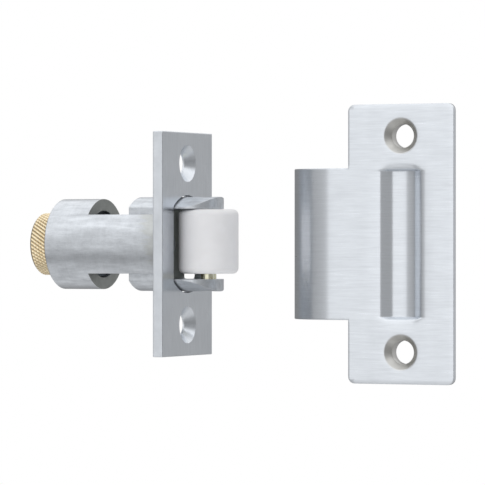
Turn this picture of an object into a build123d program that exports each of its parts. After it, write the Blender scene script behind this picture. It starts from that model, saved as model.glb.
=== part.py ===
from build123d import *
import math
import os

# Adjustable spring-loaded roller latch with its lipped strike plate. Millimetres.
# Frame: origin at the centre of the faceplate's back (seating) face, on the barrel's axis.
# +X is the way the roller projects, +Z is up, and -Y is the side the strike faces.

INCH = 25.4
OVERCUT = 1.0
TOLERANCE = 0.01

# Faceplate
FACE_WIDTH = 1.125 * INCH
FACE_HEIGHT = 2.25 * INCH
FACE_THICK = 7 / 64 * INCH
FACE_SCREW_SPACING = 1.625 * INCH
SCREW_HOLE_R = 2.7
COUNTERSINK_R = 4.75
COUNTERSINK_ANGLE = 82
OPENING_R = 12.5
OPENING_HALF_WIDTH = 7.95
SEAT_R = 12.7
SEAT_DEPTH = 0.84

# Barrel: a bored cylinder behind, two straps in front
BARREL_R = 11.65
BARREL_REAR_X = -32.72
STRAP_REAR_X = -21.32
STRAP_HALF_HEIGHT = 7.55
SLOT_HALF_WIDTH = 7.85
SPRING_BORE_R = 8.6
SPRING_BORE_DEPTH = 5.8
NUT_BORE_R = 8.4
NUT_BORE_DEPTH = 3.2
ROD_CLEARANCE = 0.08
EDGE_BREAK = 0.25
PLATE_EDGE_BREAK = 0.15

# Roller carrier: a turned fork with two flats
CARRIER_R = 12.05
CARRIER_HALF_WIDTH = 7.6
CARRIER_REAR_X = -10.22
FORK_FLOOR_X = -1.93
FORK_FRONT_X = 12.0
FORK_HALF_GAP = 8.95
FORK_CORNER_R = 7.0
FORK_ROOT_R = 0.6
SPRING_POCKET_R = 6.6
SPRING_POCKET_DEPTH = 3.0

# Roller and its pin
ROLLER_X = 8.74
ROLLER_R = 7.65
ROLLER_BOTTOM_Z = -7.55
ROLLER_TOP_Z = 8.85
ROLLER_EDGE_R = 1.5
ROLLER_PIN_R = 5 / 64 * INCH
ROLLER_CLEARANCE = 0.075
ROLLER_PIN_HALF_LENGTH = 11.6

# Draw rod, its cross pin, stop washer, knurled nut and spring
ROD_R = 2.4
ROD_REAR_X = -35.7
ROD_FRONT_SETBACK = 0.3
CROSS_PIN_R = 0.8
CROSS_PIN_X = -4.6
CROSS_PIN_HALF_LENGTH = 7.4
WASHER_R = 8.0
WASHER_THICK = 0.8
NUT_R = 8.05
NUT_REAR_X = -39.02
NUT_REAR_CHAMFER = 0.6
NUT_FRONT_CHAMFER = 0.3
SPRING_COIL_R = 5.6
SPRING_WIRE_R = 0.7
SPRING_TURNS = 6.5
SPRING_END_GAP = 0.05

# Strike plate, shown beside the latch with its face towards -Y
STRIKE_X = 61.88
STRIKE_WIDTH = 1.125 * INCH
STRIKE_HEIGHT = 2.75 * INCH
STRIKE_THICK = 1.57
STRIKE_CORNER_R = 1.75
STRIKE_SCREW_SPACING = 2.125 * INCH
LIP_HEIGHT = 1.5 * INCH
LIP_FLAT = 5.4
LIP_BEND_R = 15.5
LIP_BEND_ANGLE = 66
LIP_CORNER_R = 0.8
TROUGH_HALF_WIDTH = 6.1
TROUGH_HALF_HEIGHT = 19.85
TROUGH_END_RISE = 0.9
TROUGH_DEPTH = 2.46
TROUGH_CREASE_HALF_WIDTH = 3.25
TROUGH_CREASE_DEPTH = 1.75
TROUGH_CREASE_TILT = 28
TROUGH_END_TAPER = 37.8
TROUGH_SHOULDER_R = 1.0
TROUGH_ROOT_R = 0.5
DIMPLE_FACE_R = 4.45
DIMPLE_HOLE_R = 2.95
DIMPLE_CONE_DEPTH = 1.55
DIMPLE_DEPTH = 4.4
DIMPLE_WALL = 0.8

X_AXIS_PLANE = Plane.YZ


def x_cylinder(radius, start_x, end_x):
    """A solid cylinder along the latch's axis."""
    disc = X_AXIS_PLANE.offset(start_x) * Circle(radius)
    return extrude(disc, end_x - start_x)


def x_box(start_x, end_x, half_y, half_z):
    """A block centred on the latch's axis."""
    block = Box(end_x - start_x, 2 * half_y, 2 * half_z)
    return Pos((start_x + end_x) / 2, 0, 0) * block


def countersunk_hole(z):
    """The screw hole's cutter: a straight hole opening into a cone at the front face."""
    cone_depth = (COUNTERSINK_R - SCREW_HOLE_R) / math.tan(math.radians(COUNTERSINK_ANGLE / 2))
    straight = x_cylinder(SCREW_HOLE_R, -OVERCUT, FACE_THICK + OVERCUT)
    mouth = X_AXIS_PLANE.offset(FACE_THICK) * Circle(COUNTERSINK_R)
    throat = X_AXIS_PLANE.offset(FACE_THICK - cone_depth) * Circle(SCREW_HOLE_R)
    cone = loft([mouth.face(), throat.face()])
    return Pos(0, 0, z) * (straight + cone)


def make_faceplate():
    plate = x_box(0, FACE_THICK, FACE_WIDTH / 2, FACE_HEIGHT / 2)
    plate = chamfer(plate.edges(), PLATE_EDGE_BREAK)
    opening = x_cylinder(OPENING_R, -OVERCUT, FACE_THICK + OVERCUT)
    opening &= x_box(-OVERCUT, FACE_THICK + OVERCUT, OPENING_HALF_WIDTH, OPENING_R)
    plate -= opening
    plate -= x_cylinder(SEAT_R, -OVERCUT, SEAT_DEPTH)
    plate -= countersunk_hole(FACE_SCREW_SPACING / 2)
    plate -= countersunk_hole(-FACE_SCREW_SPACING / 2)
    return plate


def make_barrel():
    body = x_cylinder(BARREL_R, BARREL_REAR_X, SEAT_DEPTH)
    rear_rim = body.edges().group_by(Axis.X)[0]
    body = chamfer(rear_rim, EDGE_BREAK)
    wall_front_x = STRAP_REAR_X - SPRING_BORE_DEPTH
    body -= x_cylinder(SPRING_BORE_R, wall_front_x, SEAT_DEPTH + OVERCUT)
    body -= x_cylinder(NUT_BORE_R, BARREL_REAR_X - OVERCUT, BARREL_REAR_X + NUT_BORE_DEPTH)
    body -= x_cylinder(ROD_R + ROD_CLEARANCE, BARREL_REAR_X, STRAP_REAR_X)
    slot_end_x = SEAT_DEPTH + OVERCUT
    outside = BARREL_R + OVERCUT
    body -= x_box(STRAP_REAR_X, slot_end_x, SLOT_HALF_WIDTH, outside)
    middle_z = (STRAP_HALF_HEIGHT + outside) / 2
    half_height = (outside - STRAP_HALF_HEIGHT) / 2
    for side in (1, -1):
        body -= Pos(0, 0, side * middle_z) * x_box(STRAP_REAR_X, slot_end_x, outside, half_height)
    return body


def fork_outline():
    """The carrier seen from above: square behind, rounded at the front corners."""
    length = FORK_FRONT_X - CARRIER_REAR_X
    middle_x = (FORK_FRONT_X + CARRIER_REAR_X) / 2
    outline = Pos(middle_x, 0) * Rectangle(length, 2 * CARRIER_HALF_WIDTH)
    front = outline.vertices().group_by(Axis.X)[-1]
    return fillet(front, FORK_CORNER_R)


def make_roller_carrier():
    body = extrude(fork_outline(), CARRIER_R, both=True)
    body &= x_cylinder(CARRIER_R, CARRIER_REAR_X, FORK_FRONT_X)
    gap = x_box(FORK_FLOOR_X, FORK_FRONT_X + OVERCUT, CARRIER_R, FORK_HALF_GAP)
    root = gap.edges().filter_by(Axis.Y).group_by(Axis.X)[0]
    body -= fillet(root, FORK_ROOT_R)
    body -= x_cylinder(SPRING_POCKET_R, CARRIER_REAR_X - OVERCUT, CARRIER_REAR_X + SPRING_POCKET_DEPTH)
    body -= x_cylinder(ROD_R, CARRIER_REAR_X, FORK_FLOOR_X + OVERCUT)
    body -= Pos(ROLLER_X, 0, 0) * Cylinder(ROLLER_PIN_R, 2 * (CARRIER_R + OVERCUT))
    body -= cross_pin_bore(CARRIER_R)
    return body


def cross_pin_bore(half_length):
    """A cylinder across the carrier's base, where the cross pin sits."""
    return Pos(CROSS_PIN_X, 0, 0) * Rot(90, 0, 0) * Cylinder(CROSS_PIN_R, 2 * half_length)


def make_draw_rod():
    rod = x_cylinder(ROD_R, ROD_REAR_X, FORK_FLOOR_X - ROD_FRONT_SETBACK)
    ends = rod.edges().group_by(Axis.X)
    rod = chamfer(ends[0] + ends[-1], EDGE_BREAK)
    return rod - cross_pin_bore(CARRIER_R)


def make_rod_cross_pin():
    return cross_pin_bore(CROSS_PIN_HALF_LENGTH)


def washer_rear_x():
    return BARREL_REAR_X + NUT_BORE_DEPTH - WASHER_THICK


def make_stop_washer():
    front_x = washer_rear_x() + WASHER_THICK
    disc = x_cylinder(WASHER_R, washer_rear_x(), front_x)
    return disc - x_cylinder(ROD_R + ROD_CLEARANCE, washer_rear_x() - OVERCUT, front_x + OVERCUT)


def make_knurled_nut():
    nut = x_cylinder(NUT_R, NUT_REAR_X, washer_rear_x())
    rims = nut.edges().group_by(Axis.X)
    nut = chamfer(rims[0], NUT_REAR_CHAMFER)
    nut = chamfer(nut.edges().group_by(Axis.X)[-1], NUT_FRONT_CHAMFER)
    return nut - x_cylinder(ROD_R + ROD_CLEARANCE, NUT_REAR_X - OVERCUT, washer_rear_x() + OVERCUT)


def make_return_spring():
    """An open compression spring between the barrel's wall and the carrier's pocket."""
    inset = SPRING_WIRE_R + SPRING_END_GAP
    start_x = STRAP_REAR_X - SPRING_BORE_DEPTH + inset
    end_x = CARRIER_REAR_X + SPRING_POCKET_DEPTH - inset
    length = end_x - start_x
    path = Helix(length / SPRING_TURNS, length, SPRING_COIL_R)
    section = Plane(path @ 0, z_dir=path % 0) * Circle(SPRING_WIRE_R)
    coil = sweep(section, path, is_frenet=True)
    return Pos(start_x, 0, 0) * Rot(0, 90, 0) * coil


def make_roller():
    length = ROLLER_TOP_Z - ROLLER_BOTTOM_Z
    middle_z = (ROLLER_TOP_Z + ROLLER_BOTTOM_Z) / 2
    roller = Cylinder(ROLLER_R, length)
    roller = fillet(roller.edges(), ROLLER_EDGE_R)
    roller -= Cylinder(ROLLER_PIN_R + ROLLER_CLEARANCE, length + OVERCUT)
    return Pos(ROLLER_X, 0, middle_z) * roller


def make_roller_pin():
    pin = Cylinder(ROLLER_PIN_R, 2 * ROLLER_PIN_HALF_LENGTH)
    return Pos(ROLLER_X, 0, 0) * pin


def lip_profile():
    """The lip seen from above, in the strike's own frame: a flat, then a bend to the rear."""
    edge_x = -STRIKE_WIDTH / 2
    inside_x = edge_x + OVERCUT
    bend_x = edge_x - LIP_FLAT
    bend = math.radians(LIP_BEND_ANGLE)
    half = bend / 2
    inner_r = LIP_BEND_R - STRIKE_THICK

    def on_bend(radius, angle):
        return (bend_x - radius * math.sin(angle), LIP_BEND_R - radius * math.cos(angle))

    front = ThreePointArc((bend_x, 0), on_bend(LIP_BEND_R, half), on_bend(LIP_BEND_R, bend))
    back_start = on_bend(inner_r, bend)
    back = ThreePointArc(back_start, on_bend(inner_r, half), (bend_x, STRIKE_THICK))
    outline = [
        Line((inside_x, 0), (bend_x, 0)),
        front,
        Line(on_bend(LIP_BEND_R, bend), back_start),
        back,
        Line((bend_x, STRIKE_THICK), (inside_x, STRIKE_THICK)),
        Line((inside_x, STRIKE_THICK), (inside_x, 0)),
    ]
    return make_face(outline)


def trough_section(grow, start_y):
    """The trough seen from above, grown by a wall's thickness: sloping walls and a curved floor."""
    slope = TROUGH_CREASE_DEPTH / (TROUGH_HALF_WIDTH - TROUGH_CREASE_HALF_WIDTH)
    tilt = math.radians(TROUGH_CREASE_TILT)
    crease = (TROUGH_CREASE_HALF_WIDTH + grow * math.sin(tilt), TROUGH_CREASE_DEPTH + grow * math.cos(tilt))
    far_crease = (-crease[0], crease[1])
    mouth_x = crease[0] + (crease[1] - start_y) / slope
    outline = [
        Line((mouth_x, start_y), crease),
        ThreePointArc(crease, (0, TROUGH_DEPTH + grow), far_crease),
        Line(far_crease, (-mouth_x, start_y)),
        Line((-mouth_x, start_y), (mouth_x, start_y)),
    ]
    return make_face(outline)


def trough_ends(grow):
    """A tapering block whose arched ends close the trough above and below."""
    reach_x = 2 * TROUGH_HALF_WIDTH
    top_z = TROUGH_HALF_HEIGHT + grow / math.cos(math.radians(TROUGH_END_TAPER))
    corner_z = top_z - TROUGH_END_RISE * (reach_x / TROUGH_HALF_WIDTH) ** 2
    outline = [
        ThreePointArc((-reach_x, corner_z), (0, top_z), (reach_x, corner_z)),
        Line((reach_x, corner_z), (reach_x, -corner_z)),
        ThreePointArc((reach_x, -corner_z), (0, -top_z), (-reach_x, -corner_z)),
        Line((-reach_x, -corner_z), (-reach_x, corner_z)),
    ]
    face_plane = Plane(origin=(0, 0, 0), x_dir=(1, 0, 0), z_dir=(0, 1, 0))
    depth = TROUGH_DEPTH + grow + OVERCUT
    return extrude(face_plane * make_face(outline), depth, taper=TROUGH_END_TAPER)


def trough(grow, start_y):
    """The trough as a solid."""
    length = extrude(trough_section(grow, start_y), 2 * TROUGH_HALF_HEIGHT, both=True)
    return length & trough_ends(grow)


def trough_rim(body, depth, reach):
    """The trough's edges on the plate's face, or on its back."""
    flat = body.edges().filter_by(lambda edge: abs(edge.center().Y - depth) < TOLERANCE)
    inside_x = flat.filter_by(lambda edge: abs(edge.center().X) < TROUGH_HALF_WIDTH + reach)
    return inside_x.filter_by(lambda edge: abs(edge.center().Z) < TROUGH_HALF_HEIGHT + reach)


def dimple(face_r, hole_r, cone_depth, total_depth):
    """A cone from the face to a short straight throat, along +Y."""
    points = [(0, 0), (face_r, 0), (hole_r, cone_depth), (hole_r, total_depth), (0, total_depth)]
    profile = make_face(Polyline(*points, close=True))
    return revolve(profile, Axis.Y)


def make_strike_plate():
    plate = Pos(0, STRIKE_THICK / 2, 0) * Box(STRIKE_WIDTH, STRIKE_THICK, STRIKE_HEIGHT)
    plate = fillet(plate.edges().filter_by(Axis.Y), STRIKE_CORNER_R)
    lip = extrude(lip_profile(), LIP_HEIGHT / 2, both=True)
    lip_tip = lip.faces().sort_by(Axis.X)[0]
    lip_corners = lip_tip.edges().group_by(Axis.Z)
    lip = fillet(lip_corners[0] + lip_corners[-1], LIP_CORNER_R)
    body = plate + lip
    body += trough(STRIKE_THICK, STRIKE_THICK / 2)
    body -= trough(0, 0)
    body = fillet(trough_rim(body, 0, TOLERANCE), TROUGH_SHOULDER_R)
    body = fillet(trough_rim(body, STRIKE_THICK, STRIKE_THICK), TROUGH_ROOT_R)
    hole = dimple(DIMPLE_FACE_R, DIMPLE_HOLE_R, DIMPLE_CONE_DEPTH, DIMPLE_DEPTH + OVERCUT)
    collar_sizes = [size + DIMPLE_WALL for size in (DIMPLE_FACE_R, DIMPLE_HOLE_R, DIMPLE_CONE_DEPTH)]
    collar = dimple(*collar_sizes, DIMPLE_DEPTH)
    for side in (1, -1):
        place = Pos(0, 0, side * STRIKE_SCREW_SPACING / 2)
        body += place * collar
        body -= place * hole
    return Pos(STRIKE_X, 0, 0) * body


PIECES = {
    "faceplate": make_faceplate,
    "barrel": make_barrel,
    "return_spring": make_return_spring,
    "stop_washer": make_stop_washer,
    "knurled_nut": make_knurled_nut,
    "roller_carrier": make_roller_carrier,
    "draw_rod": make_draw_rod,
    "rod_cross_pin": make_rod_cross_pin,
    "roller_pin": make_roller_pin,
    "roller": make_roller,
    "strike_plate": make_strike_plate,
}

os.makedirs("parts", exist_ok=True)
for name, make in PIECES.items():
    export_step(make(), f"parts/{name}.step")
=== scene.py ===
import math

import bmesh
import bpy
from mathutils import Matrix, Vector
from mathutils.geometry import delaunay_2d_cdt


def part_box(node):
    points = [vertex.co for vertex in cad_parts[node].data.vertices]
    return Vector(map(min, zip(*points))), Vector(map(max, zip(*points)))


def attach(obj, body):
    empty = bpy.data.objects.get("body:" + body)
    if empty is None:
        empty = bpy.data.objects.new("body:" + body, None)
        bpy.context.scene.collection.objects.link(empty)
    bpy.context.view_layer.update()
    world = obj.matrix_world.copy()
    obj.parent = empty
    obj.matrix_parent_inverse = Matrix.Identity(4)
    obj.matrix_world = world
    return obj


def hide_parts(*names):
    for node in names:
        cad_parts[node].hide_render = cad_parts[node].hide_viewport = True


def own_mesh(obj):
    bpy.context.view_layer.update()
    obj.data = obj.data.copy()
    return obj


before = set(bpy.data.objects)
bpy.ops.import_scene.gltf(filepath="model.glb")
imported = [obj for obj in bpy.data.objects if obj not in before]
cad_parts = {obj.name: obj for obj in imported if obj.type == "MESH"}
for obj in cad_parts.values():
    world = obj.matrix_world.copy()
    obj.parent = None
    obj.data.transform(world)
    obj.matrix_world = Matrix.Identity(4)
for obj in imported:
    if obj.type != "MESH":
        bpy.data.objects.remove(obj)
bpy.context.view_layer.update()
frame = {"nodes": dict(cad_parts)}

# Adjustable roller latch with its lipped strike plate, in metres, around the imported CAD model.
# Frame: +X is the way the roller projects, +Z is up, and the strike faces -Y.

MM = 0.001
SHARP_ANGLE = math.radians(38)

# Camera: a long lens, level with the latch, swung from -Y towards +X
VIEW_AZIMUTH = math.radians(25.5)
VIEW_DISTANCE = 0.938
VIEW_LENS_MM = 274.3
VIEW_TARGET = Vector((20 * MM, 0, 0))
VIEW_SHIFT_RIGHT = -1.51 * MM
VIEW_SHIFT_UP = 0.40 * MM

# Knurled nut
KNURL_COUNT = 50
KNURL_DEPTH = 0.34 * MM
KNURL_ANGLE = math.radians(33)
KNURL_SECOND_SHARE = 0.45
KNURL_GROOVE = 0.36
KNURL_STEPS = 6
NUT_REAR_CHAMFER = 0.6 * MM
NUT_FRONT_CHAMFER = 0.3 * MM
NUT_BORE_R = 2.48 * MM
NUT_BORE_CHAMFER = 0.35 * MM

# Draw rod
THREAD_PITCH = 25.4 / 24 * MM
THREAD_DEPTH = 0.6 * MM
THREAD_CREST_SHARE = 0.14
THREAD_FLANK_SHARE = 0.72
THREAD_FRONT_X = -12 * MM
THREAD_RUNOUT = 1.5 * MM
THREAD_COLUMNS = 48
THREAD_STEPS = 8
ROD_CHAMFER = 0.4 * MM

# Return spring
SPRING_WIRE_R = 0.7 * MM
SPRING_COIL_R = 5.6 * MM
SPRING_TURNS = 6.5
SPRING_CLOSED_TURNS = 1.0
SPRING_EASED_SHARE = 0.25
SPRING_STEPS = 40
SPRING_SIDES = 14

# Strike plate, stamped from one sheet
STRIKE_HALF_WIDTH = 14.2875 * MM
STRIKE_THICK = 1.57 * MM
STRIKE_CORNER_R = 1.75 * MM
STRIKE_EDGE_R = 0.16 * MM
LIP_HALF_HEIGHT = 19.05 * MM
LIP_FLAT = 4.9 * MM
LIP_BEND_R = 15.3 * MM
LIP_BEND_ANGLE = math.radians(66.4)
LIP_CORNER_R = 0.9 * MM
SCREW_SPACING = 53.975 * MM
DIMPLE_REACH = 5.8 * MM
DIMPLE_FACE_R = 4.45 * MM
DIMPLE_HOLE_R = 2.95 * MM
DIMPLE_CONE_DEPTH = 1.55 * MM
DIMPLE_DEPTH = 4.4 * MM
DIMPLE_OUTER_R = 3.75 * MM
DIMPLE_OUTER_DEPTH = 2.35 * MM
DIMPLE_BACK_R = 4.6 * MM
DIMPLE_BEND_R = 0.5 * MM
DIMPLE_BACK_BEND_R = 0.4 * MM
DIMPLE_BORE_EDGE_R = 0.12 * MM
DIMPLE_END_EDGE_R = 0.15 * MM
DIMPLE_COLUMNS = 56
TROUGH_HALF_WIDTH = 5.75 * MM
TROUGH_HALF_HEIGHT = 19.6 * MM
TROUGH_END_RISE = 0.8 * MM
TROUGH_DEPTH = 2.46 * MM
TROUGH_CREASE_X = 3.25 * MM
TROUGH_CREASE_DEPTH = 1.75 * MM
TROUGH_FLOOR_HALF_HEIGHT = 18.2 * MM
TROUGH_HIP_DEPTH = 1.75 * MM
TROUGH_CREASE_SOFTNESS = 0.04 * MM
TROUGH_RIM_SOFTNESS = 0.2 * MM
TROUGH_OUTSIDE_FALL = 1 * MM

# The strike's mesh: spacing of its points, and the band round the trough where they are close together
GRID_FINE = 0.2 * MM
GRID_LIP = 0.7 * MM
GRID_OUTLINE = 1.2 * MM
GRID_COARSE = 1.3 * MM
GRID_MARGIN = 0.35 * MM
GRID_NEAR = 0.01 * MM
FINE_HALF_WIDTH = 7.0 * MM
FINE_LOW_Z = 17.2 * MM
FINE_HIGH_Z = 20.4 * MM
CUT_TOLERANCE = 1e-7

# Edges of the strike that fold by more than this many radians are its outline
OUTLINE_FOLD = 1.0


# ---------------------------------------------------------------- meshes

def link_piece(name, mesh):
    mesh.shade_smooth()
    mesh.set_sharp_from_angle(angle=SHARP_ANGLE)
    piece = bpy.data.objects.new(name, mesh)
    bpy.context.scene.collection.objects.link(piece)
    return piece


def new_piece(name, vertices, faces):
    mesh = bpy.data.meshes.new(name)
    mesh.from_pydata([tuple(v) for v in vertices], [], faces)
    mesh.validate()
    return link_piece(name, mesh)


def held(share):
    """A share, held between 0 and 1."""
    return min(1.0, max(0.0, share))


def smooth(share):
    share = held(share)
    return share * share * (3 - 2 * share)


def ring_faces(ring_count, columns, closed):
    """Quads between neighbouring rings, and between the last and the first where the skin is closed."""
    faces = []
    for ring in range(ring_count if closed else ring_count - 1):
        following = (ring + 1) % ring_count
        for column in range(columns):
            beside = (column + 1) % columns
            faces.append((
                ring * columns + column,
                following * columns + column,
                following * columns + beside,
                ring * columns + beside,
            ))
    return faces


def lathe(rings, columns, radius_at):
    """The points of a skin round the X axis, from rings of (x, envelope radius, share of the detail)."""
    vertices = []
    for x, envelope, share in rings:
        for column in range(columns):
            angle = 2 * math.pi * column / columns
            radius = radius_at(x, angle, envelope, share)
            vertices.append((x, radius * math.cos(angle), radius * math.sin(angle)))
    return vertices


def groove_depth(turns):
    """1 at the bottom of a V groove, which lies at each whole number, and 0 on the land beside it."""
    distance = abs(turns - round(turns))
    return max(0.0, 1 - distance / KNURL_GROOVE)


def make_knurled_nut():
    low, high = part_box("knurled_nut")
    outer = high.y
    pitch = 2 * math.pi * outer / KNURL_COUNT
    step = pitch / KNURL_STEPS

    def radius_at(x, angle, envelope, share):
        if not share:
            return envelope
        around = KNURL_COUNT * angle / (2 * math.pi)
        along = (x - low.x) / pitch * math.tan(KNURL_ANGLE)
        main, second = groove_depth(around - along), groove_depth(around + along)
        cut = max(main, KNURL_SECOND_SHARE * second)
        return min(envelope, outer - KNURL_DEPTH * cut)

    def envelope_at(x):
        rear = outer - NUT_REAR_CHAMFER + (x - low.x)
        front = outer - NUT_FRONT_CHAMFER + (high.x - x)
        return min(outer, rear, front)

    rows = round((high.x - low.x) / step)
    stations = [low.x + (high.x - low.x) * row / rows for row in range(rows + 1)]
    rings = [(x, envelope_at(x), 1) for x in stations]
    lip_r = NUT_BORE_R + NUT_BORE_CHAMFER
    rings += [
        (high.x, lip_r, 0),
        (high.x - NUT_BORE_CHAMFER, NUT_BORE_R, 0),
        (low.x + NUT_BORE_CHAMFER, NUT_BORE_R, 0),
        (low.x, lip_r, 0),
    ]
    columns = KNURL_COUNT * KNURL_STEPS
    vertices = lathe(rings, columns, radius_at)
    faces = [tuple(reversed(face)) for face in ring_faces(len(rings), columns, True)]
    return new_piece("knurled_nut_brass", vertices, faces)


def make_draw_rod():
    low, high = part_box("draw_rod")
    outer = high.y

    def radius_at(x, angle, envelope, share):
        turns = (x - low.x) / THREAD_PITCH - angle / (2 * math.pi)
        flank = held((abs(2 * (turns % 1) - 1) - THREAD_CREST_SHARE) / THREAD_FLANK_SHARE)
        fade = smooth((THREAD_FRONT_X - x) / THREAD_RUNOUT)
        return min(envelope, outer - share * fade * THREAD_DEPTH * flank)

    step = THREAD_PITCH / THREAD_STEPS
    rows = round((THREAD_FRONT_X - low.x) / step)
    rings = []
    for row in range(rows + 1):
        x = low.x + row * step
        rings.append((x, min(outer, outer - ROD_CHAMFER + (x - low.x)), 1))
    rings += [(high.x - ROD_CHAMFER, outer, 0), (high.x, outer - ROD_CHAMFER, 0)]
    vertices = lathe(rings, THREAD_COLUMNS, radius_at)
    faces = [tuple(reversed(face)) for face in ring_faces(len(rings), THREAD_COLUMNS, False)]
    ends = ((0, low.x), (len(rings) - 1, high.x))
    for ring, x in ends:
        centre = len(vertices)
        vertices.append((x, 0, 0))
        for column in range(THREAD_COLUMNS):
            first = ring * THREAD_COLUMNS + column
            second = ring * THREAD_COLUMNS + (column + 1) % THREAD_COLUMNS
            faces.append((centre, second, first) if ring == 0 else (centre, first, second))
    return new_piece("draw_rod_threaded", vertices, faces)


def make_return_spring():
    """A compression spring with closed, ground ends."""
    low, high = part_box("return_spring")
    first_x = low.x + SPRING_WIRE_R / 2
    last_x = high.x - SPRING_WIRE_R / 2
    closed_rise = 2 * SPRING_WIRE_R * SPRING_CLOSED_TURNS
    open_turns = SPRING_TURNS - 2 * SPRING_CLOSED_TURNS
    open_rise = last_x - first_x - 2 * closed_rise

    def height(turn):
        start = min(turn, SPRING_CLOSED_TURNS)
        end = max(0.0, turn - SPRING_CLOSED_TURNS - open_turns)
        opened = (turn - SPRING_CLOSED_TURNS) / open_turns
        middle = smooth(opened) * SPRING_EASED_SHARE
        middle += held(opened) * (1 - SPRING_EASED_SHARE)
        return first_x + (start + end) * 2 * SPRING_WIRE_R + middle * open_rise

    vertices = []
    count = round(SPRING_TURNS * SPRING_STEPS)
    for index in range(count + 1):
        turn = SPRING_TURNS * index / count
        angle = 2 * math.pi * turn
        outward = Vector((0, math.cos(angle), math.sin(angle)))
        centre = Vector((height(turn), 0, 0)) + outward * SPRING_COIL_R
        for side in range(SPRING_SIDES):
            around = 2 * math.pi * side / SPRING_SIDES
            point = centre + SPRING_WIRE_R * (
                outward * math.cos(around) + Vector((1, 0, 0)) * math.sin(around)
            )
            point.x = min(high.x, max(low.x, point.x))
            vertices.append(point)
    faces = ring_faces(count + 1, SPRING_SIDES, False)
    faces.append(tuple(reversed(range(SPRING_SIDES))))
    faces.append(tuple(count * SPRING_SIDES + side for side in range(SPRING_SIDES)))
    faces = [tuple(reversed(face)) for face in faces]
    return new_piece("return_spring_coil", vertices, faces)


def rounded_line(corners, steps=5, closed=False):
    """Points along straight runs whose corners, each (x, y, radius), are rounded."""
    points = []
    count = len(corners)
    for index, (x, y, radius) in enumerate(corners):
        corner = Vector((x, y))
        if not radius or (not closed and index in (0, count - 1)):
            points.append(corner)
            continue
        before = Vector(corners[index - 1][:2]) - corner
        after = Vector(corners[(index + 1) % count][:2]) - corner
        half = before.angle(after) / 2
        before.normalize()
        after.normalize()
        centre = corner + (before + after).normalized() * radius / math.sin(half)
        start = (corner + before * radius / math.tan(half) - centre).normalized()
        end = (corner + after * radius / math.tan(half) - centre).normalized()
        points += [centre + radius * start.slerp(end, step / steps) for step in range(steps + 1)]
    return points


def divided(loop, longest):
    """A closed loop with its long runs cut into equal parts."""
    points = []
    for index, start in enumerate(loop):
        end = loop[(index + 1) % len(loop)]
        parts = max(1, math.ceil((end - start).length / longest))
        points += [start.lerp(end, part / parts) for part in range(parts)]
    return points


def soft_min(first, second, softness):
    """The smaller of two values, blended where they are close."""
    return (first + second - math.hypot(first - second, 2 * softness)) / 2


def trough_end_depth(share):
    """The rounded end wall: share is 0 at its rim, 1 at the floor, and negative outside the trough."""
    if share <= 0:
        return share * TROUGH_OUTSIDE_FALL
    return TROUGH_DEPTH * (1 - math.sqrt(max(0.0, 1 - share * share)))


def trough_depth(x, z):
    """How far the sheet is pressed back at a point of the strike's face."""
    x, z = abs(x), abs(z)
    slope = TROUGH_CREASE_DEPTH / (TROUGH_HALF_WIDTH - TROUGH_CREASE_X)
    rise = TROUGH_DEPTH - TROUGH_CREASE_DEPTH
    floor_r = (TROUGH_CREASE_X ** 2 + rise ** 2) / (2 * rise)
    inside = min(x, TROUGH_CREASE_X)
    floor = TROUGH_DEPTH - floor_r + math.sqrt(floor_r ** 2 - inside ** 2)
    floor -= max(0.0, x - TROUGH_CREASE_X) * TROUGH_CREASE_X / (floor_r - rise)
    wall = (TROUGH_HALF_WIDTH - x) * slope
    end_z = TROUGH_HALF_HEIGHT - TROUGH_END_RISE * (x / TROUGH_HALF_WIDTH) ** 2
    end = trough_end_depth((end_z - z) / (end_z - TROUGH_FLOOR_HALF_HEIGHT))
    edge = min(wall, end)
    if edge < TROUGH_HIP_DEPTH:
        corner = math.hypot(max(0.0, TROUGH_HIP_DEPTH - wall), max(0.0, TROUGH_HIP_DEPTH - end))
        edge = TROUGH_HIP_DEPTH - corner
    depth = soft_min(edge, floor, TROUGH_CREASE_SOFTNESS)
    return -soft_min(0.0, -depth, TROUGH_RIM_SOFTNESS)


def on_strike(across, z, depth):
    """A point of the strike: its place across the flat sheet, its height, and its depth in the sheet."""
    bend_x = -STRIKE_HALF_WIDTH - LIP_FLAT
    if across >= bend_x:
        return Vector((across, depth, z))
    angle = (bend_x - across) / LIP_BEND_R
    radius = LIP_BEND_R - depth
    return Vector((bend_x - radius * math.sin(angle), LIP_BEND_R - radius * math.cos(angle), z))


def strike_outline(lip_tip, half_height):
    corners = [
        (STRIKE_HALF_WIDTH, half_height, STRIKE_CORNER_R),
        (-STRIKE_HALF_WIDTH, half_height, STRIKE_CORNER_R),
        (-STRIKE_HALF_WIDTH, LIP_HALF_HEIGHT, 0),
        (lip_tip, LIP_HALF_HEIGHT, LIP_CORNER_R),
        (lip_tip, -LIP_HALF_HEIGHT, LIP_CORNER_R),
        (-STRIKE_HALF_WIDTH, -LIP_HALF_HEIGHT, 0),
        (-STRIKE_HALF_WIDTH, -half_height, STRIKE_CORNER_R),
        (STRIKE_HALF_WIDTH, -half_height, STRIKE_CORNER_R),
    ]
    return divided(rounded_line(corners, closed=True), GRID_OUTLINE)


def stations(spans):
    """Places along a line, from spans of (start, end, step)."""
    places = []
    for start, end, step in spans:
        parts = max(1, round((end - start) / step))
        places += [start + (end - start) * part / parts for part in range(parts)]
    return places + [spans[-1][1]]


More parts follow.
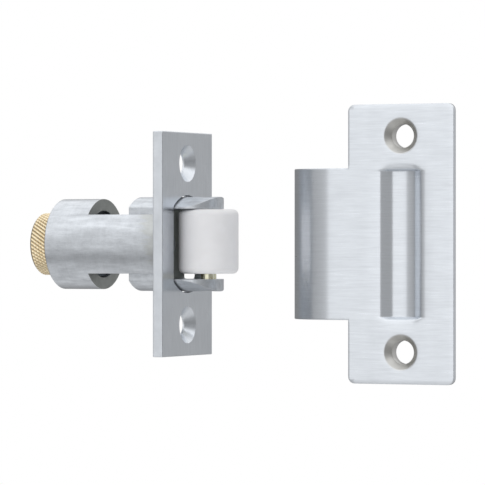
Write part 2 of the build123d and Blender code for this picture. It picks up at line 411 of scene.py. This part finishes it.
def strike_grid(lip_tip, half_height):
    """Points across the flat sheet, close together where the trough bends it."""
    lip_root = -STRIKE_HALF_WIDTH - LIP_FLAT
    across = stations([
        (lip_tip, lip_root, GRID_LIP),
        (lip_root, -FINE_HALF_WIDTH, GRID_COARSE),
        (-FINE_HALF_WIDTH, FINE_HALF_WIDTH, GRID_FINE),
        (FINE_HALF_WIDTH, STRIKE_HALF_WIDTH, GRID_COARSE),
    ])
    upward = stations([
        (-half_height, -FINE_HIGH_Z, GRID_COARSE),
        (-FINE_HIGH_Z, -FINE_LOW_Z, GRID_FINE),
        (-FINE_LOW_Z, FINE_LOW_Z, GRID_COARSE),
        (FINE_LOW_Z, FINE_HIGH_Z, GRID_FINE),
        (FINE_HIGH_Z, half_height, GRID_COARSE),
    ])
    return [Vector((x, z)) for x in across for z in upward]


def dimple_circle(hole):
    turns = [2 * math.pi * column / DIMPLE_COLUMNS for column in range(DIMPLE_COLUMNS)]
    return [hole + DIMPLE_REACH * Vector((math.cos(turn), math.sin(turn))) for turn in turns]


def flat_sheet(holes, lip_tip, half_height):
    """The sheet before it is formed: its points, and triangles that leave a circle open at each hole."""

    def inside(point, gap):
        x, z = point
        on_plate = abs(x) < STRIKE_HALF_WIDTH - gap and abs(z) < half_height - gap
        on_lip = lip_tip + gap < x < gap - STRIKE_HALF_WIDTH and abs(z) < LIP_HALF_HEIGHT - gap
        clear = all((point - hole).length > DIMPLE_REACH + gap for hole in holes)
        return clear and (on_plate or on_lip)

    points, edges = [], []
    for loop in [strike_outline(lip_tip, half_height)] + [dimple_circle(hole) for hole in holes]:
        first = len(points)
        points += loop
        edges += [(first + index, first + (index + 1) % len(loop)) for index in range(len(loop))]
    grid = strike_grid(lip_tip, half_height)
    points += [point for point in grid if inside(point, GRID_MARGIN)]
    flat, _, triangles, *_ = delaunay_2d_cdt(points, edges, [], 0, CUT_TOLERANCE)

    def centroid(triangle):
        return sum((flat[index] for index in triangle), Vector((0, 0))) / 3

    return flat, [triangle for triangle in triangles if inside(centroid(triangle), 0)]


def rim_pairs(triangles):
    """The edges that only one triangle uses."""
    uses = {}
    for triangle in triangles:
        for index, start in enumerate(triangle):
            pair = frozenset((start, triangle[(index + 1) % 3]))
            uses[pair] = uses.get(pair, 0) + 1
    return [tuple(pair) for pair, times in uses.items() if times == 1]


def near_dimple(point, hole):
    return (point - hole).length < DIMPLE_REACH + GRID_NEAR


def add_dimple(hole, flat, vertices, faces):
    """The drawn rim of one screw hole, from the sheet's face through the hole and round to its back."""
    count = len(flat)
    profile = rounded_line([
        (DIMPLE_REACH, 0, 0),
        (DIMPLE_FACE_R, 0, DIMPLE_BEND_R),
        (DIMPLE_HOLE_R, DIMPLE_CONE_DEPTH, DIMPLE_BEND_R),
        (DIMPLE_HOLE_R, DIMPLE_DEPTH, DIMPLE_BORE_EDGE_R),
        (DIMPLE_OUTER_R, DIMPLE_DEPTH, DIMPLE_END_EDGE_R),
        (DIMPLE_OUTER_R, DIMPLE_OUTER_DEPTH, DIMPLE_BEND_R),
        (DIMPLE_BACK_R, STRIKE_THICK, DIMPLE_BACK_BEND_R),
        (DIMPLE_REACH, STRIKE_THICK, 0),
    ])
    ring = [index for index in range(count) if near_dimple(flat[index], hole)]
    ring.sort(key=lambda index: math.atan2(flat[index].y - hole.y, flat[index].x - hole.x))
    rings = [ring]
    for radius, depth in profile[1:-1]:
        rings.append(range(len(vertices), len(vertices) + len(ring)))
        for index in ring:
            place = hole + (flat[index] - hole).normalized() * radius
            vertices.append(Vector((place.x, depth, place.y)))
    rings.append([count + index for index in ring])
    for inner, outer in zip(rings, rings[1:]):
        for column in range(len(ring)):
            beside = (column + 1) % len(ring)
            faces.append((inner[column], inner[beside], outer[beside], outer[column]))


def round_outline(form, outer, count):
    """Bevels the outline's edges on the face, whose points come before count, and on the back."""
    corners = []
    for edge in form.edges:
        first, second = (vertex.index for vertex in edge.verts)
        same_side = (first < count) == (second < count)
        if first in outer and second in outer and same_side and edge.calc_face_angle(0) > OUTLINE_FOLD:
            corners.append(edge)
    bmesh.ops.bevel(form, geom=corners, offset=STRIKE_EDGE_R, segments=2, affect="EDGES", profile=0.5)


def make_strike_plate():
    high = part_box("strike_plate")[1]
    lip_tip = -STRIKE_HALF_WIDTH - LIP_FLAT - LIP_BEND_R * LIP_BEND_ANGLE
    holes = [Vector((0, side * SCREW_SPACING / 2)) for side in (1, -1)]
    flat, triangles = flat_sheet(holes, lip_tip, high.z)
    count = len(flat)
    front, back = [], []
    for x, z in flat:
        depth = trough_depth(x, z) if x > -STRIKE_HALF_WIDTH else 0.0
        front.append(on_strike(x, z, depth))
        back.append(on_strike(x, z, depth + STRIKE_THICK))
    vertices = front + back
    faces = [tuple(triangle) for triangle in triangles]
    faces += [tuple(count + index for index in reversed(triangle)) for triangle in triangles]
    rim = rim_pairs(triangles)
    outline = [pair for pair in rim if not any(near_dimple(flat[pair[0]], hole) for hole in holes)]
    faces += [(a, b, count + b, count + a) for a, b in outline]
    for hole in holes:
        add_dimple(hole, flat, vertices, faces)

    centre = Vector((high.x - STRIKE_HALF_WIDTH, 0, 0))
    form = bmesh.new()
    made = [form.verts.new(vertex + centre) for vertex in vertices]
    for face in faces:
        form.faces.new([made[index] for index in face])
    bmesh.ops.recalc_face_normals(form, faces=form.faces)
    form.verts.index_update()
    outer = {index for pair in outline for index in pair}
    outer |= {count + index for index in outer}
    round_outline(form, outer, count)
    mesh = bpy.data.meshes.new("strike_plate_formed")
    form.to_mesh(mesh)
    form.free()
    return link_piece("strike_plate_formed", mesh)


# ---------------------------------------------------------------- materials

class Nodes:
    """A node tree, with short names for the nodes that the finishes and the world share."""

    def __init__(self, tree):
        self.tree = tree

    def node(self, kind, **inputs):
        made = self.tree.nodes.new(kind)
        for name, value in inputs.items():
            self.feed(made.inputs[name.replace("_", " ")], value)
        return made

    def feed(self, socket, value):
        if isinstance(value, bpy.types.NodeSocket):
            self.tree.links.new(value, socket)
        else:
            socket.default_value = value

    def apart(self, vector):
        """The X, Y and Z outputs of a vector."""
        made = self.tree.nodes.new("ShaderNodeSeparateXYZ")
        self.feed(made.inputs[0], vector)
        return made.outputs

    def length(self, vector):
        made = self.tree.nodes.new("ShaderNodeVectorMath")
        made.operation = "LENGTH"
        self.feed(made.inputs[0], vector)
        return made.outputs["Value"]

    def math(self, operation, first, second=0.0):
        made = self.tree.nodes.new("ShaderNodeMath")
        made.operation = operation
        self.feed(made.inputs[0], first)
        self.feed(made.inputs[1], second)
        return made.outputs[0]

    def mix(self, factor, first, second, kind="MIX"):
        made = self.tree.nodes.new("ShaderNodeMix")
        made.data_type = "RGBA"
        made.blend_type = kind
        self.feed(made.inputs["Factor"], factor)
        self.feed(made.inputs["A"], first)
        self.feed(made.inputs["B"], second)
        return made.outputs["Result"]

    def ramp(self, value, stops):
        """A brightness that runs straight between stops of (position, level)."""
        made = self.tree.nodes.new("ShaderNodeValToRGB")
        made.color_ramp.interpolation = "LINEAR"
        elements = made.color_ramp.elements
        elements[0].position, elements[1].position = stops[0][0], stops[-1][0]
        elements[0].color, elements[1].color = shade(stops[0][1]), shade(stops[-1][1])
        for position, level in stops[1:-1]:
            elements.new(position).color = shade(level)
        self.feed(made.inputs["Fac"], value)
        return made.outputs["Color"]


class Shader(Nodes):
    """A material, with the patterns that these finishes share."""

    def __init__(self, name, **sockets):
        self.material = bpy.data.materials.new(name)
        self.material.use_nodes = True
        super().__init__(self.material.node_tree)
        self.bsdf = self.tree.nodes["Principled BSDF"]
        for socket, value in sockets.items():
            self.bsdf.inputs[socket.replace("_", " ")].default_value = value
        self.place = self.tree.nodes.new("ShaderNodeTexCoord").outputs["Object"]

    def noise(self, scale, detail=4.0, roughness=0.6, offset=0.0):
        """Noise from 0 to 1. The scale is features per metre, one for each axis or one for all."""
        scales = scale if isinstance(scale, tuple) else (scale, scale, scale)
        moved = self.tree.nodes.new("ShaderNodeMapping")
        self.feed(moved.inputs["Vector"], self.place)
        moved.inputs["Scale"].default_value = scales
        moved.inputs["Location"].default_value = (offset, offset, offset)
        made = self.node("ShaderNodeTexNoise", Scale=1.0, Detail=detail, Roughness=roughness)
        self.feed(made.inputs["Vector"], moved.outputs[0])
        return made.outputs["Fac"]

    def spread(self, value, low, high, start=0.25, end=0.75):
        """Maps start..end to low..high, and holds it there beyond."""
        made = self.node("ShaderNodeMapRange", Value=value)
        made.inputs["From Min"].default_value = start
        made.inputs["From Max"].default_value = end
        made.inputs["To Min"].default_value = low
        made.inputs["To Max"].default_value = high
        return made.outputs["Result"]

    def bump(self, height, distance, strength=1.0):
        made = self.node("ShaderNodeBump", Height=height, Distance=distance, Strength=strength)
        previous = self.bsdf.inputs["Normal"].links
        if previous:
            self.feed(made.inputs["Normal"], previous[0].from_socket)
        self.feed(self.bsdf.inputs["Normal"], made.outputs["Normal"])

    def soft_edges(self, radius, samples=6):
        """Rounds the shading at edges, and returns 0 on flats rising towards 1 on edges."""
        bevel = self.tree.nodes.new("ShaderNodeBevel")
        bevel.samples = samples
        bevel.inputs["Radius"].default_value = radius
        self.feed(self.bsdf.inputs["Normal"], bevel.outputs["Normal"])
        surface = self.tree.nodes.new("ShaderNodeNewGeometry")
        dot = self.tree.nodes.new("ShaderNodeVectorMath")
        dot.operation = "DOT_PRODUCT"
        self.feed(dot.inputs[0], bevel.outputs["Normal"])
        self.feed(dot.inputs[1], surface.outputs["Normal"])
        return self.spread(dot.outputs["Value"], 1.0, 0.0, 0.75, 0.995)

    def brushed_across(self, direction):
        """Spreads the highlight along a direction, which lies across the tool marks."""
        turned = self.tree.nodes.new("ShaderNodeVectorTransform")
        turned.vector_type = "VECTOR"
        turned.convert_from = "OBJECT"
        turned.convert_to = "WORLD"
        turned.inputs[0].default_value = direction
        self.feed(self.bsdf.inputs["Tangent"], turned.outputs[0])


def shade(value, tint=(1.0, 1.0, 1.0)):
    return tuple(value * part for part in tint) + (1.0,)


STEEL_TINT = (0.955, 1.0, 1.058)
ZINC_TINT = (0.98, 1.0, 1.03)
WIRE_TINT = (1.0, 1.0, 1.02)
# Painted shade for the castings' faces that look along +X
PAINTED_SHADE_STEEL = (0.27, 0.285, 0.27, 1)
# Painted shadow of the faceplate on the barrel
PAINTED_SHADOW_STEEL = (0.46, 0.47, 0.44, 1)
DIMPLE_DARK_STEEL = (0.60, 0.59, 0.56, 1)
YELLOW_BRASS = ((0.92, 0.78, 0.52, 1), (1.0, 0.90, 0.68, 1))
PALE_BRASS = ((0.74, 0.73, 0.55, 1), (0.88, 0.87, 0.70, 1))
TARNISHED_BRASS = (0.60, 0.44, 0.20, 1)
RUBBED_BRASS = (0.98, 0.88, 0.62, 1)
GROOVE_DARK = (0.36, 0.22, 0.08, 1)
NYLON = ((0.75, 0.75, 0.765, 1), (0.81, 0.81, 0.83, 1))
SCUFFED_NYLON = (0.7, 0.7, 0.7, 1)
PALE_FLOOR = (0.93, 0.935, 0.94, 1)


def brushed_plate(name, across, base=0.76, roughness=0.3, punched=None):
    """Satin chromed plate, linished in one direction; across is the unit direction across the lines.

    punched is the x of the screw holes; the colour is darker within about 4.5 mm of each.
    """
    surface = Shader(name, Metallic=1.0, Anisotropic=0.82)
    surface.brushed_across(across)
    worn = surface.soft_edges(0.16 * MM)
    fine = tuple(6500.0 if part else 260.0 for part in across)
    broad = tuple(2600.0 if part else 130.0 for part in across)
    lines = surface.noise(fine, detail=4.0, roughness=0.7)
    streaks = surface.noise(broad, detail=3.0, roughness=0.6, offset=3.7)
    clouds = surface.noise(160.0, detail=3.0, roughness=0.5, offset=9.1)
    tone = surface.math("ADD", surface.spread(lines, -0.5, 0.5), surface.spread(streaks, -0.6, 0.6))
    tone = surface.math("ADD", tone, surface.spread(clouds, -0.2, 0.2))
    level = surface.spread(tone, 0.0, 1.0, -1.2, 1.2)
    colour = surface.mix(level, shade(base * 0.88, STEEL_TINT), shade(base * 1.08, STEEL_TINT))
    colour = surface.mix(surface.math("MULTIPLY", worn, 0.5), colour, shade(0.9))
    # Colour darkened inside the dimples round the screw holes
    if punched:
        position = surface.apart(surface.place)
        sideways = surface.math("SUBTRACT", position["X"], punched)
        upward = surface.math("ABSOLUTE", position["Z"])
        upward = surface.math("SUBTRACT", upward, SCREW_SPACING / 2)
        squared = surface.math("POWER", sideways, 2.0)
        squared = surface.math("ADD", squared, surface.math("POWER", upward, 2.0))
        near_hole = surface.spread(surface.math("SQRT", squared), 0.85, 0.0, 4.2 * MM, 4.7 * MM)
        colour = surface.mix(near_hole, colour, DIMPLE_DARK_STEEL)
    surface.feed(surface.bsdf.inputs["Base Color"], colour)
    rough = surface.spread(tone, roughness + 0.05, roughness - 0.05, -1.2, 1.2)
    rough = surface.math("SUBTRACT", rough, surface.math("MULTIPLY", worn, 0.08))
    surface.feed(surface.bsdf.inputs["Roughness"], rough)
    surface.bump(lines, 0.004 * MM, 0.3)
    surface.bump(streaks, 0.005 * MM, 0.2)
    return surface.material


def satin_casting(name, across, base, roughness=0.34, front_shade=0.0, front_shade_behind=1.0, faceplate_shadow_x=None):
    """Satin plated turned part: faint lathe lines under a mottled skin, smeared along the axis.

    front_shade is how much shade is painted on faces that look along +X, behind x = front_shade_behind, and
    a painted shadow of the faceplate starts at faceplate_shadow_x.
    """
    surface = Shader(name, Metallic=1.0, Anisotropic=0.35)
    surface.brushed_across(across)
    worn = surface.soft_edges(0.2 * MM)
    lines = surface.noise(tuple(5200.0 if part else 90.0 for part in across), detail=4.0, roughness=0.7)
    grain = surface.noise(4200.0, detail=5.0, roughness=0.7, offset=5.3)
    mottle = surface.noise(620.0, detail=4.0, roughness=0.62, offset=1.9)
    tone = surface.math("ADD", surface.spread(lines, -0.35, 0.35), surface.spread(mottle, -0.6, 0.6))
    tone = surface.math("ADD", tone, surface.spread(grain, -0.45, 0.45))
    smear = surface.noise((120.0, 620.0, 620.0), detail=6.0, roughness=0.68, offset=7.7)
    tone = surface.math("ADD", tone, surface.spread(smear, -1.2, 1.2, 0.3, 0.7))
    level = surface.spread(tone, 0.0, 1.0, -1.5, 1.5)
    colour = surface.mix(level, shade(base * 0.78, STEEL_TINT), shade(base * 1.14, STEEL_TINT))
    position = surface.apart(surface.place)
    along, height = position["X"], position["Z"]
    # Painted shade: faces that look along +X, into the hollows behind the faceplate, are darkened
    if front_shade:
        facing = surface.apart(surface.tree.nodes.new("ShaderNodeTexCoord").outputs["Normal"])
        front = surface.spread(facing["X"], 0.0, front_shade, 0.5, 0.9)
        behind = surface.spread(along, 1.0, 0.0, front_shade_behind - 1 * MM, front_shade_behind)
        colour = surface.mix(surface.math("MULTIPLY", front, behind), colour, PAINTED_SHADE_STEEL)
    # Painted shadow of the faceplate on the barrel: darker towards +X, its edge slanting with height
    if faceplate_shadow_x:
        reach = surface.math("ADD", along, surface.spread(smear, -3 * MM, 3 * MM, 0.3, 0.7))
        reach = surface.math("ADD", reach, surface.math("MULTIPLY", height, 0.35))
        faceplate_shadow = surface.spread(reach, 0.0, 0.55, faceplate_shadow_x - 0.5 * MM, faceplate_shadow_x + 1.2 * MM)
        colour = surface.mix(faceplate_shadow, colour, PAINTED_SHADOW_STEEL)
    colour = surface.mix(surface.math("MULTIPLY", worn, 0.45), colour, shade(0.88))
    surface.feed(surface.bsdf.inputs["Base Color"], colour)
    rough = surface.spread(tone, roughness + 0.06, roughness - 0.06, -1.2, 1.2)
    surface.feed(surface.bsdf.inputs["Roughness"], rough)
    surface.bump(grain, 0.012 * MM, 0.5)
    surface.bump(mottle, 0.03 * MM, 0.3)
    surface.bump(smear, 0.12 * MM, 0.4)
    return surface.material


def brass(name, across, roughness, edge_radius, colours, groove=0.0):
    """Machined bare brass, with lighter rubbed edges and darker tarnish where nothing rubs.

    groove is the outer radius of a knurled rim, whose grooves are coloured darker towards their bottoms.
    """
    surface = Shader(name, Metallic=1.0, Anisotropic=0.4)
    surface.brushed_across(across)
    worn = surface.soft_edges(edge_radius)
    turning = surface.noise(tuple(7000.0 if part else 200.0 for part in across), detail=4.0, roughness=0.7)
    tarnish = surface.noise(380.0, detail=4.0, roughness=0.6, offset=4.4)
    clean = surface.mix(surface.spread(turning, 0.0, 1.0), *colours)
    colour = surface.mix(surface.spread(tarnish, 0.0, 0.45, 0.45, 0.75), clean, TARNISHED_BRASS)
    if groove:
        # Colour darkened towards the bottom of each knurl groove
        radial = surface.tree.nodes.new("ShaderNodeVectorMath")
        radial.operation = "MULTIPLY"
        surface.feed(radial.inputs[0], surface.place)
        radial.inputs[1].default_value = (0, 1, 1)
        radius = surface.length(radial.outputs[0])
        depth = surface.spread(radius, 1.0, 0.0, groove - KNURL_DEPTH, groove - 0.05 * MM)
        inside = surface.spread(radius, 0.0, 1.0, groove - 0.5 * MM, groove - 0.4 * MM)
        groove_dark = surface.math("MULTIPLY", surface.math("MULTIPLY", depth, inside), 0.85)
        colour = surface.mix(groove_dark, colour, GROOVE_DARK)
    colour = surface.mix(surface.math("MULTIPLY", worn, 0.6), colour, RUBBED_BRASS)
    surface.feed(surface.bsdf.inputs["Base Color"], colour)
    rough = surface.spread(tarnish, roughness - 0.05, roughness + 0.12)
    surface.feed(surface.bsdf.inputs["Roughness"], rough)
    surface.bump(turning, 0.004 * MM, 0.35)
    return surface.material


def moulded_nylon(name):
    """Off-white moulded nylon: a soft sheen over a barely uneven skin."""
    surface = Shader(name, Metallic=0.0, Subsurface_Weight=0.12, Subsurface_Scale=0.6 * MM, IOR=1.53)
    surface.bsdf.inputs["Subsurface Radius"].default_value = (1.0, 0.9, 0.8)
    skin = surface.noise(900.0, detail=3.0, roughness=0.55)
    cloud = surface.noise(160.0, detail=3.0, roughness=0.5, offset=2.2)
    scuff = surface.noise((1800.0, 1800.0, 240.0), detail=5.0, roughness=0.7, offset=6.1)
    colour = surface.mix(surface.spread(cloud, 0.0, 1.0), *NYLON)
    colour = surface.mix(surface.spread(scuff, 0.0, 0.3, 0.62, 0.85), colour, SCUFFED_NYLON)
    surface.feed(surface.bsdf.inputs["Base Color"], colour)
    surface.feed(surface.bsdf.inputs["Roughness"], surface.spread(skin, 0.42, 0.56))
    surface.bump(skin, 0.02 * MM, 0.25)
    surface.bump(scuff, 0.008 * MM, 0.3)
    return surface.material


def drawn_steel(name, base, tint, across, roughness):
    """Plain drawn or zinc plated steel with fine draw lines and faint blotches."""
    surface = Shader(name, Metallic=1.0, Anisotropic=0.3)
    surface.brushed_across(across)
    worn = surface.soft_edges(0.1 * MM)
    lines = surface.noise(tuple(6000.0 if part else 160.0 for part in across), detail=4.0, roughness=0.7)
    blotch = surface.noise(500.0, detail=4.0, roughness=0.6, offset=8.0)
    tone = surface.math("ADD", surface.spread(lines, -0.5, 0.5), surface.spread(blotch, -0.5, 0.5))
    level = surface.spread(tone, 0.0, 1.0, -1.0, 1.0)
    colour = surface.mix(level, shade(base * 0.85, tint), shade(base * 1.1, tint))
    colour = surface.mix(surface.math("MULTIPLY", worn, 0.5), colour, shade(min(1.0, base * 1.35)))
    surface.feed(surface.bsdf.inputs["Base Color"], colour)
    rough = surface.spread(tone, roughness - 0.05, roughness + 0.08, -1, 1)
    surface.feed(surface.bsdf.inputs["Roughness"], rough)
    surface.bump(lines, 0.004 * MM, 0.4)
    return surface.material


def paint(piece, material):
    piece.data.materials.clear()
    piece.data.materials.append(material)


# ---------------------------------------------------------------- stage

STUDIO_STRENGTH = 1.56
OPEN_SKY_LEVEL = 0.95
WALL_TOP_Z = 0.28
OPEN_SKY_Z = 0.6
FLOOR_R = 1.0
FLOOR_DROP = 0.14
FLOOR_SIDES = 96

# The studio's brightness near the horizon, by degrees round from -Y towards -X
WALL_LEVELS = (
    (-180, 0.38), (-154, 0.53), (-97, 0.31), (-40, 0.31), (-27, 0.36), (-22, 1.0), (27.5, 1.0),
    (30.5, 0.56), (42, 0.47), (60, 0.40), (80, 0.31), (111, 0.24), (157, 0.20), (180, 0.38),
)

# What that is multiplied by, from 0 straight down to 1 straight up. The scale keeps each level under 1.
HEIGHT_LEVELS = (
    (0.0, 0.42), (0.025, 0.52), (0.055, 0.7), (0.15, 0.58), (0.2, 0.42), (0.25, 0.4), (0.31, 0.64),
    (0.4, 0.8), (0.5, 0.92), (0.7, 1.02), (0.87, 1.1), (0.95, 0.98), (0.985, 0.95), (1.0, 1.2),
)
HEIGHT_LEVEL_SCALE = 1.3


def make_floor():
    """A pale round floor that fades out at its edge."""
    points = [(0.0, 0.0, -FLOOR_DROP)]
    for side in range(FLOOR_SIDES):
        angle = 2 * math.pi * side / FLOOR_SIDES
        points.append((FLOOR_R * math.cos(angle), FLOOR_R * math.sin(angle), -FLOOR_DROP))
    faces = [(0, side + 1, (side + 1) % FLOOR_SIDES + 1) for side in range(FLOOR_SIDES)]
    mesh = bpy.data.meshes.new("floor")
    mesh.from_pydata(points, [], faces)
    floor = bpy.data.objects.new("floor", mesh)
    bpy.context.scene.collection.objects.link(floor)
    surface = Shader("floor_pale", Roughness=0.9)
    surface.bsdf.inputs["Specular IOR Level"].default_value = 0.1
    surface.bsdf.inputs["Base Color"].default_value = PALE_FLOOR
    faded = surface.spread(surface.length(surface.place), 1.0, 0.0, 0.8, 0.99)
    surface.feed(surface.bsdf.inputs["Alpha"], faded)
    paint(floor, surface.material)
    floor.visible_glossy = False


def studio_colour(nodes):
    """The studio's colour in each direction: its walls, open sky beyond them, and the levels by height."""
    direction = nodes.apart(nodes.tree.nodes.new("ShaderNodeTexCoord").outputs["Generated"])
    leftward = nodes.math("MULTIPLY", direction["X"], -1.0)
    forward = nodes.math("MULTIPLY", direction["Y"], -1.0)
    turn = nodes.math("ARCTAN2", leftward, forward)
    turn = nodes.math("ADD", nodes.math("DIVIDE", turn, 2 * math.pi), 0.5)
    walls = nodes.ramp(turn, [(degrees / 360 + 0.5, level) for degrees, level in WALL_LEVELS])
    away = nodes.math("SUBTRACT", nodes.math("ABSOLUTE", direction["Z"]), WALL_TOP_Z)
    away = nodes.math("MULTIPLY", away, 1 / (OPEN_SKY_Z - WALL_TOP_Z))
    open_share = nodes.math("MINIMUM", nodes.math("MAXIMUM", away, 0.0), 1.0)
    level = nodes.mix(open_share, walls, shade(OPEN_SKY_LEVEL))
    rise = nodes.math("ADD", nodes.math("MULTIPLY", direction["Z"], 0.5), 0.5)
    lift = nodes.ramp(rise, [(height, level / HEIGHT_LEVEL_SCALE) for height, level in HEIGHT_LEVELS])
    return nodes.mix(1.0, level, lift, "MULTIPLY")


def make_world():
    """Plain white to the camera, and a soft studio to the object, brightest in front and above."""
    world = bpy.data.worlds.new("studio")
    bpy.context.scene.world = world
    world.use_nodes = True
    nodes = Nodes(world.node_tree)
    studio = nodes.tree.nodes["Background"]
    nodes.feed(studio.inputs["Color"], studio_colour(nodes))
    studio.inputs["Strength"].default_value = STUDIO_STRENGTH
    plain = nodes.node("ShaderNodeBackground", Color=(1, 1, 1, 1))
    choose = nodes.tree.nodes.new("ShaderNodeMixShader")
    nodes.feed(choose.inputs["Fac"], nodes.tree.nodes.new("ShaderNodeLightPath").outputs["Is Camera Ray"])
    nodes.feed(choose.inputs[1], studio.outputs[0])
    nodes.feed(choose.inputs[2], plain.outputs[0])
    nodes.feed(nodes.tree.nodes["World Output"].inputs["Surface"], choose.outputs[0])


def make_light(name, place, size, power):
    lamp = bpy.data.lights.new(name, "AREA")
    lamp.shape = "DISK"
    lamp.size = size
    lamp.energy = power
    light = bpy.data.objects.new(name, lamp)
    bpy.context.scene.collection.objects.link(light)
    light.location = place
    light.visible_glossy = False
    light.rotation_euler = (VIEW_TARGET - Vector(place)).to_track_quat("-Z", "Y").to_euler()


def make_camera():
    back = Vector((math.sin(VIEW_AZIMUTH), -math.cos(VIEW_AZIMUTH), 0))
    right = Vector((math.cos(VIEW_AZIMUTH), math.sin(VIEW_AZIMUTH), 0))
    target = VIEW_TARGET + right * VIEW_SHIFT_RIGHT + Vector((0, 0, VIEW_SHIFT_UP))
    lens = bpy.data.cameras.new("camera")
    lens.lens = VIEW_LENS_MM
    lens.sensor_width = 36.0
    lens.clip_start = 0.01
    camera = bpy.data.objects.new("camera", lens)
    bpy.context.scene.collection.objects.link(camera)
    camera.location = target + back * VIEW_DISTANCE
    camera.rotation_euler = (-back).to_track_quat("-Z", "Y").to_euler()
    bpy.context.scene.camera = camera


# ---------------------------------------------------------------- assembly

ALONG_X, ALONG_Y, ALONG_Z = (1, 0, 0), (0, 1, 0), (0, 0, 1)

nodes = frame["nodes"]
# Both castings carry painted shade on faces that look along +X; the barrel also carries a painted shadow of
# the faceplate
fork_casting = satin_casting(
    "satin_casting_fork", ALONG_X, base=0.70, roughness=0.44, front_shade=1.0, front_shade_behind=2 * MM,
)
barrel_casting = satin_casting("satin_casting_barrel", ALONG_X, base=0.68, front_shade=0.9, faceplate_shadow_x=-4.2 * MM)
paint(nodes["faceplate"], brushed_plate("satin_plate_vertical", ALONG_Y))
paint(nodes["barrel"], barrel_casting)
paint(nodes["roller_carrier"], fork_casting)
paint(nodes["roller"], moulded_nylon("white_nylon"))
paint(nodes["roller_pin"], brass("brass_pin", ALONG_Z, 0.16, 0.08 * MM, PALE_BRASS))
paint(nodes["stop_washer"], drawn_steel("zinc_washer", 0.68, ZINC_TINT, ALONG_X, 0.3))
paint(nodes["rod_cross_pin"], drawn_steel("steel_pin", 0.45, WIRE_TINT, ALONG_Y, 0.3))

nut = make_knurled_nut()
nut_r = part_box("knurled_nut")[1].y
paint(nut, brass("brass_knurled", ALONG_X, 0.24, 0.05 * MM, YELLOW_BRASS, groove=nut_r))
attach(nut, "adjusting_nut")
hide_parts("knurled_nut")

rod = make_draw_rod()
paint(rod, drawn_steel("zinc_rod", 0.68, ZINC_TINT, ALONG_X, 0.28))
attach(rod, "plunger")
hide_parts("draw_rod")

strike = make_strike_plate()
holes_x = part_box("strike_plate")[1].x - STRIKE_HALF_WIDTH
paint(strike, brushed_plate("satin_plate_level", ALONG_Z, base=0.80, punched=holes_x))
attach(strike, "strike")
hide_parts("strike_plate")

spring = make_return_spring()
paint(spring, drawn_steel("spring_wire", 0.45, WIRE_TINT, ALONG_X, 0.34))
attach(spring, "latch_body")
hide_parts("return_spring")
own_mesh(spring)

make_floor()
make_world()
make_light("key_front", place=(-0.1, -0.75, 0.55), size=0.5, power=0.08)
make_light("fill_right", place=(0.7, -0.5, 0.1), size=0.5, power=0.12)
make_camera()
bpy.context.scene.view_settings.view_transform = "Standard"
